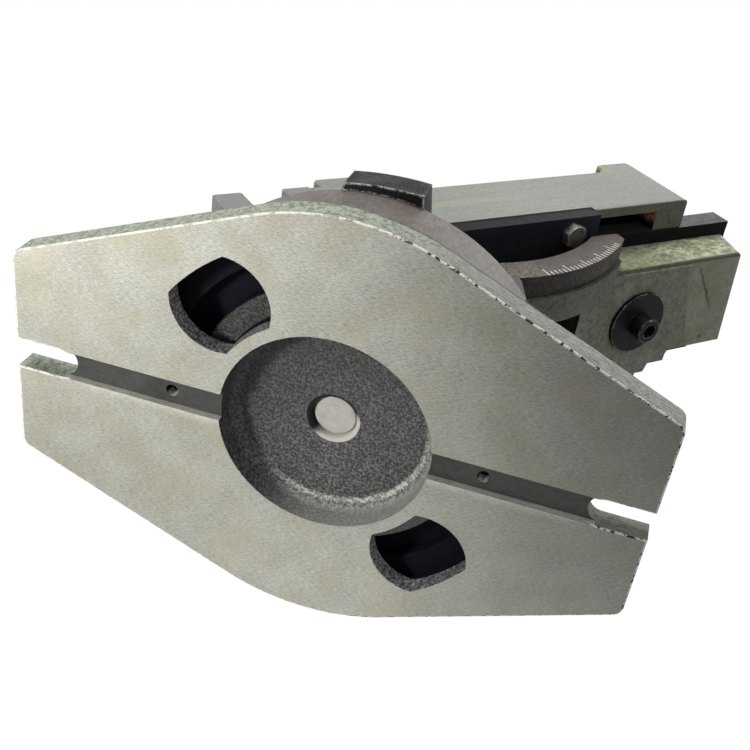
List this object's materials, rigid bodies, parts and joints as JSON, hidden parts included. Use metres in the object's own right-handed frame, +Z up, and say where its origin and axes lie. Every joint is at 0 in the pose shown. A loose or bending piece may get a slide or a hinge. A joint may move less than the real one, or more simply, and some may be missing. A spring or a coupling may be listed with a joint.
{
  "type": "tilting machine vise",
  "caption": "Machine vise with a swivel base, a rocker cradle that tilts the vise body, a bed with guideways, and a long slide with the moving jaw driven by a leadscrew.",
  "frame": {"origin": "middle of the base plate's underside, midway between the two key holes", "axes": "+X along the base plate and the key slot, towards the open side of the tilt; +Y across the jaws, towards the rear; +Z up along the swivel axis"},
  "size_m": [0.3359, 0.215, 0.2832],
  "materials": {
    "casting_paint": "worn matt grey-green paint",
    "slide_paint": "worn matt light grey-green paint",
    "table_iron": "machined, stained",
    "dark_steel": "blackened, oily",
    "steel": "turned, dull",
    "jaw_steel": "ground and hardened",
    "bronze": "turned"
  },
  "bodies": {
    "base": {"base_plate": "casting_paint"},
    "swivel": {"pivot_pin": "steel", "swivel_table": "table_iron", "t_bolts": "dark_steel", "t_bolt_washers": "steel", "t_bolt_nuts": "dark_steel", "tilt_clamps": "dark_steel", "tilt_clamp_bolts": "dark_steel", "tilt_clamp_washers": "steel"},
    "tilt": {"bed": "casting_paint", "fixed_jaw_plate": "jaw_steel", "fixed_jaw_screws": "dark_steel", "leadscrew_nut": "bronze", "nut_washer": "dark_steel", "nut_screw": "dark_steel"},
    "jaw": {"slide": "slide_paint", "moving_jaw_plate": "jaw_steel", "moving_jaw_screws": "dark_steel", "keeper_front": "dark_steel", "keeper_rear": "dark_steel", "keeper_bolts": "steel", "core_plugs": "slide_paint", "bearing_bush": "bronze", "thrust_washers": "bronze"},
    "screw": {"leadscrew": "steel", "screw_collar": "steel", "collar_pin": "steel"}
  },
  "joints": [
    {"name": "swivel_turn", "type": "hinge", "parent": "base", "child": "swivel", "pos_m": [0, 0, 0], "axis": [0, 0, 1], "continuous": true},
    {"name": "bed_tilt", "type": "hinge", "parent": "swivel", "child": "tilt", "pos_m": [0, 0, 0.184], "axis": [0, -1, 0], "range_deg": [-45, 0]},
    {"name": "jaw_slide", "type": "slide", "parent": "tilt", "child": "jaw", "axis": [0.7071, 0, 0.7071], "range_m": [-0.0215, 0.078]},
    {"name": "screw_turn", "type": "hinge", "parent": "jaw", "child": "screw", "pos_m": [0.0263, 0, 0.1577], "axis": [0.7071, 0, 0.7071], "range_deg": [-1560, 5640]}
  ],
  "couplings": [
    {"joint": "screw_turn", "follows": "jaw_slide", "rad_per_m": 1256.6}
  ]
}
